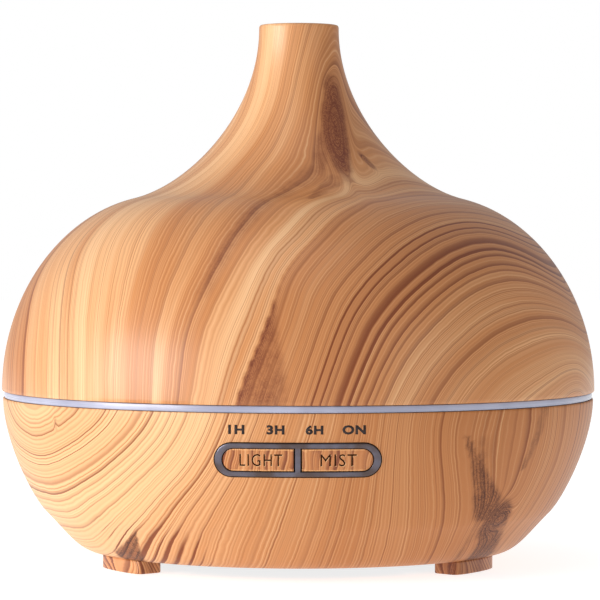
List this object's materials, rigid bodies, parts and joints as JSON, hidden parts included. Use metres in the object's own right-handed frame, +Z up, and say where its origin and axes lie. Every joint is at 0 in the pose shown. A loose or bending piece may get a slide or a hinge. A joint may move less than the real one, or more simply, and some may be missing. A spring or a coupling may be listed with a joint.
{
  "type": "essential oil diffuser",
  "caption": "Teardrop-shaped ultrasonic aroma diffuser with a wood-grain lift-off cover, a pale light band, a bowl-shaped base on short feet and a pill-shaped button frame.",
  "frame": {"origin": "centre of the base on the floor it stands on, under the middle of the neck", "axes": "+Z up through the neck, -Y towards the buttons, +Y towards the power inlet, +X to the right of someone facing the buttons"},
  "size_m": [0.168, 0.168, 0.1524],
  "materials": {
    "wood_print": "polypropylene with a satin wood-grain print",
    "white_plastic": "plain moulded",
    "ring_plastic": "translucent, polished",
    "frame_chrome": "dark chrome plating, satin",
    "screw_steel": "zinc plated",
    "black_plastic": "fine moulded texture",
    "soft_rubber": "soft moulded",
    "circuit_board": "green solder mask",
    "disc_brass": "plain",
    "coil_copper": "enamelled copper winding",
    "bare_alloy": "bare",
    "red_plastic": "moulded",
    "black_wire": "insulated wire",
    "white_wire": "insulated wire",
    "lamp_white": "lamp lens"
  },
  "bodies": {
    "base": {"base_housing": "wood_print", "foot_left": "wood_print", "foot_right": "wood_print", "foot_rear": "wood_print", "water_tank": "white_plastic", "transducer_connector": "white_plastic", "fan_connector": "white_plastic", "button_connector": "white_plastic", "light_ring": "ring_plastic", "button_frame": "frame_chrome", "clamp_screw_1": "screw_steel", "clamp_screw_2": "screw_steel", "clamp_screw_3": "screw_steel", "fan_screw_1": "screw_steel", "fan_screw_2": "screw_steel", "base_screw_1": "screw_steel", "base_screw_2": "screw_steel", "base_screw_3": "screw_steel", "base_screw_4": "screw_steel", "board_screw_1": "screw_steel", "board_screw_2": "screw_steel", "base_plate": "black_plastic", "fan_frame": "black_plastic", "power_inlet": "black_plastic", "light_switch": "black_plastic", "mist_switch": "black_plastic", "capacitor_1": "black_plastic", "capacitor_2": "black_plastic", "transducer_seal": "soft_rubber", "fan_gasket": "soft_rubber", "main_board": "circuit_board", "button_board": "circuit_board", "transducer_disc": "disc_brass", "power_inductor": "coil_copper", "transducer_clamp": "bare_alloy", "heat_sink": "bare_alloy", "transducer_lead": "red_plastic", "fan_lead": "black_wire", "power_lead": "black_wire", "button_lead": "white_wire", "mood_light_1": "lamp_white", "mood_light_2": "lamp_white", "mood_light_3": "lamp_white", "mood_light_4": "lamp_white", "timer_light_1": "lamp_white", "timer_light_2": "lamp_white", "timer_light_3": "lamp_white", "timer_light_4": "lamp_white"},
    "cover": {"cover_shell": "wood_print", "mist_hood": "white_plastic", "hood_screw_1": "screw_steel", "hood_screw_2": "screw_steel", "hood_screw_3": "screw_steel"},
    "light_button": {"light_button": "wood_print", "light_switch_plunger": "red_plastic"},
    "mist_button": {"mist_button": "wood_print", "mist_switch_plunger": "red_plastic"},
    "fan_rotor": {"fan_rotor": "black_plastic"}
  },
  "joints": [
    {"name": "cover_lift", "type": "slide", "parent": "base", "child": "cover", "axis": [0, 0, 1], "range_m": [0, 0.1]},
    {"name": "light_button_press", "type": "slide", "parent": "base", "child": "light_button", "axis": [0, 1, 0], "range_m": [0, 0.0006], "stiffness_N_per_m": 2500},
    {"name": "mist_button_press", "type": "slide", "parent": "base", "child": "mist_button", "axis": [0, 1, 0], "range_m": [0, 0.0006], "stiffness_N_per_m": 2500},
    {"name": "fan_spin", "type": "hinge", "parent": "base", "child": "fan_rotor", "pos_m": [0, 0.039, 0.0132], "axis": [0, 0, 1], "continuous": true}
  ]
}
